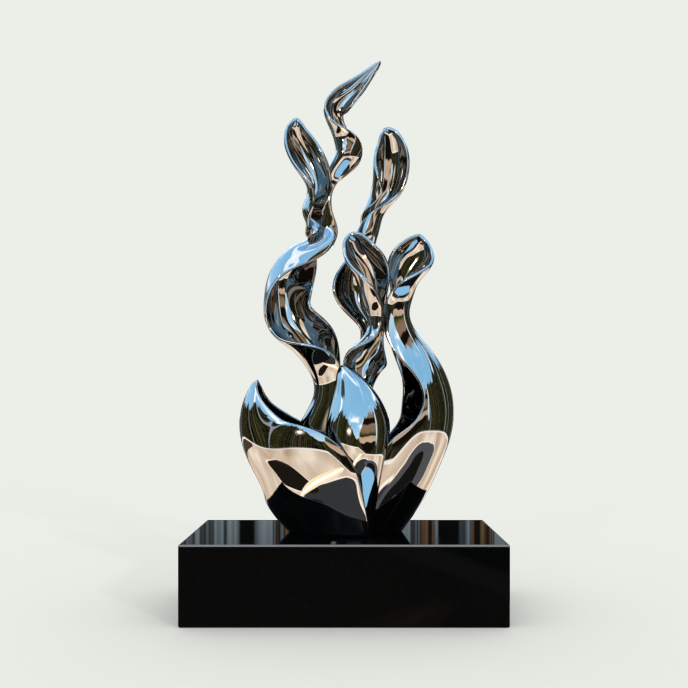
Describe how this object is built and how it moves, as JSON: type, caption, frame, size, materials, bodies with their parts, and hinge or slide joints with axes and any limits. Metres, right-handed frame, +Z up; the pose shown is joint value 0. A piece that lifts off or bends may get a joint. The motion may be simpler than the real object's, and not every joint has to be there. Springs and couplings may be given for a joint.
{
  "type": "abstract metal sculpture",
  "caption": "Abstract flame of curling, mirror-polished steel tongues rising from an open bowl of petals, standing on a low black granite plinth.",
  "frame": {"origin": "centre of the plinth's underside", "axes": "+Z up, +X to the right and -Y towards the viewer of the plinth's long front face"},
  "size_m": [0.4, 0.24, 0.7259],
  "materials": {
    "polished_steel": "mirror-polished stainless steel sheet",
    "black_granite": "polished black granite"
  },
  "bodies": {
    "root": {"flame": "polished_steel", "plinth": "black_granite"}
  },
  "joints": []
}
